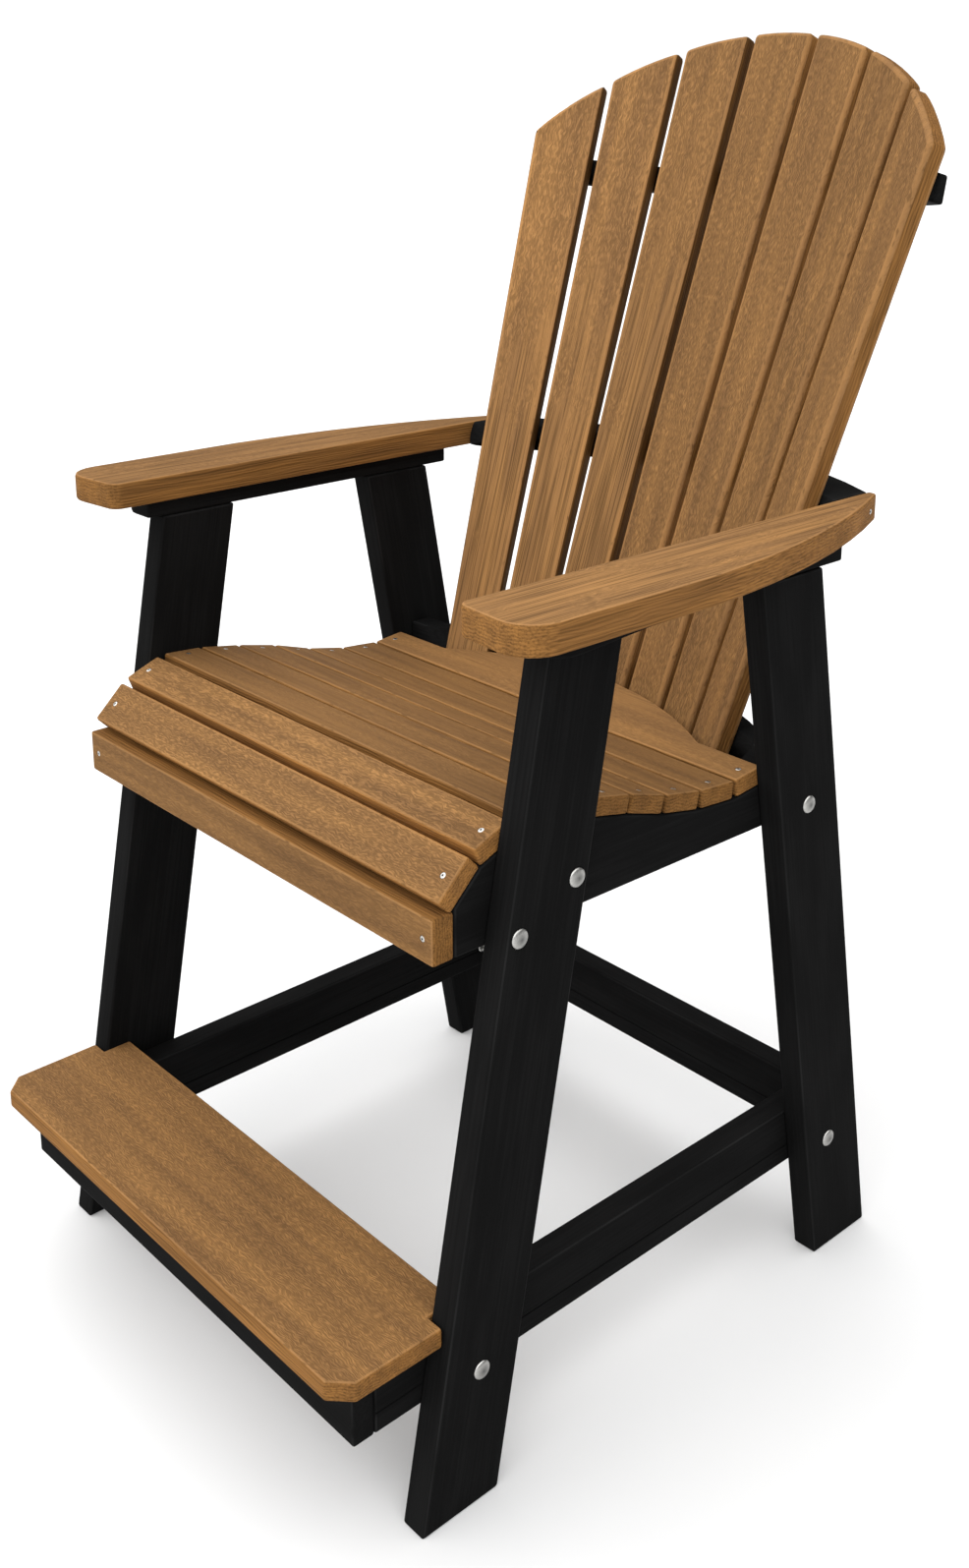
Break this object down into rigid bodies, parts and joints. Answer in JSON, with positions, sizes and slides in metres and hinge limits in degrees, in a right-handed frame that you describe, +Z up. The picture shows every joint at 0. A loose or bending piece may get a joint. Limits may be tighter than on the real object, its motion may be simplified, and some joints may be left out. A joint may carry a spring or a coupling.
{
  "type": "adirondack counter chair",
  "caption": "Counter-height Adirondack chair of brown and black poly lumber, with a fan back, wide curved arms, a waterfall seat and a footrest between the front legs.",
  "frame": {"origin": "on the floor, under the middle of the chair's box", "axes": "+Z up, -Y towards the front of the seat, +X towards the sitter's left"},
  "size_m": [0.7318, 0.9164, 1.3155],
  "materials": {
    "brown_lumber": "brown poly lumber with an embossed wood grain",
    "black_lumber": "black poly lumber with a faint embossed grain",
    "stainless": "satin stainless steel"
  },
  "bodies": {
    "root": {"front_leg_left": "black_lumber", "front_leg_right": "black_lumber", "rear_leg_left": "black_lumber", "rear_leg_right": "black_lumber", "seat_rail_left": "black_lumber", "seat_rail_right": "black_lumber", "seat_apron": "brown_lumber", "seat_slat_1": "brown_lumber", "seat_slat_2": "brown_lumber", "seat_slat_3": "brown_lumber", "seat_slat_4": "brown_lumber", "seat_slat_5": "brown_lumber", "seat_slat_6": "brown_lumber", "seat_slat_7": "brown_lumber", "seat_slat_8": "brown_lumber", "seat_slat_9": "brown_lumber", "back_slat_1": "brown_lumber", "back_slat_2": "brown_lumber", "back_slat_3": "brown_lumber", "back_slat_4": "brown_lumber", "back_slat_5": "brown_lumber", "back_slat_6": "brown_lumber", "back_slat_7": "brown_lumber", "back_top_rail": "black_lumber", "back_arm_brace": "black_lumber", "back_lower_support": "black_lumber", "arm_rail_left": "black_lumber", "arm_rail_right": "black_lumber", "arm_left": "brown_lumber", "arm_right": "brown_lumber", "side_stretcher_left": "black_lumber", "side_stretcher_right": "black_lumber", "rear_stretcher": "black_lumber", "foot_apron": "black_lumber", "footrest_board": "brown_lumber", "seat_front_high_bolt_left": "stainless", "seat_front_high_bolt_right": "stainless", "seat_front_low_bolt_left": "stainless", "seat_front_low_bolt_right": "stainless", "seat_rear_bolt_left": "stainless", "seat_rear_bolt_right": "stainless", "stretcher_front_bolt_left": "stainless", "stretcher_front_bolt_right": "stainless", "stretcher_rear_bolt_left": "stainless", "stretcher_rear_bolt_right": "stainless", "seat_front_high_nut_left": "stainless", "seat_front_high_nut_right": "stainless", "seat_front_low_nut_left": "stainless", "seat_front_low_nut_right": "stainless", "seat_rear_nut_left": "stainless", "seat_rear_nut_right": "stainless", "stretcher_front_nut_left": "stainless", "stretcher_front_nut_right": "stainless", "stretcher_rear_nut_left": "stainless", "stretcher_rear_nut_right": "stainless", "arm_brace_screw_left": "stainless", "arm_brace_screw_right": "stainless"}
  },
  "joints": []
}
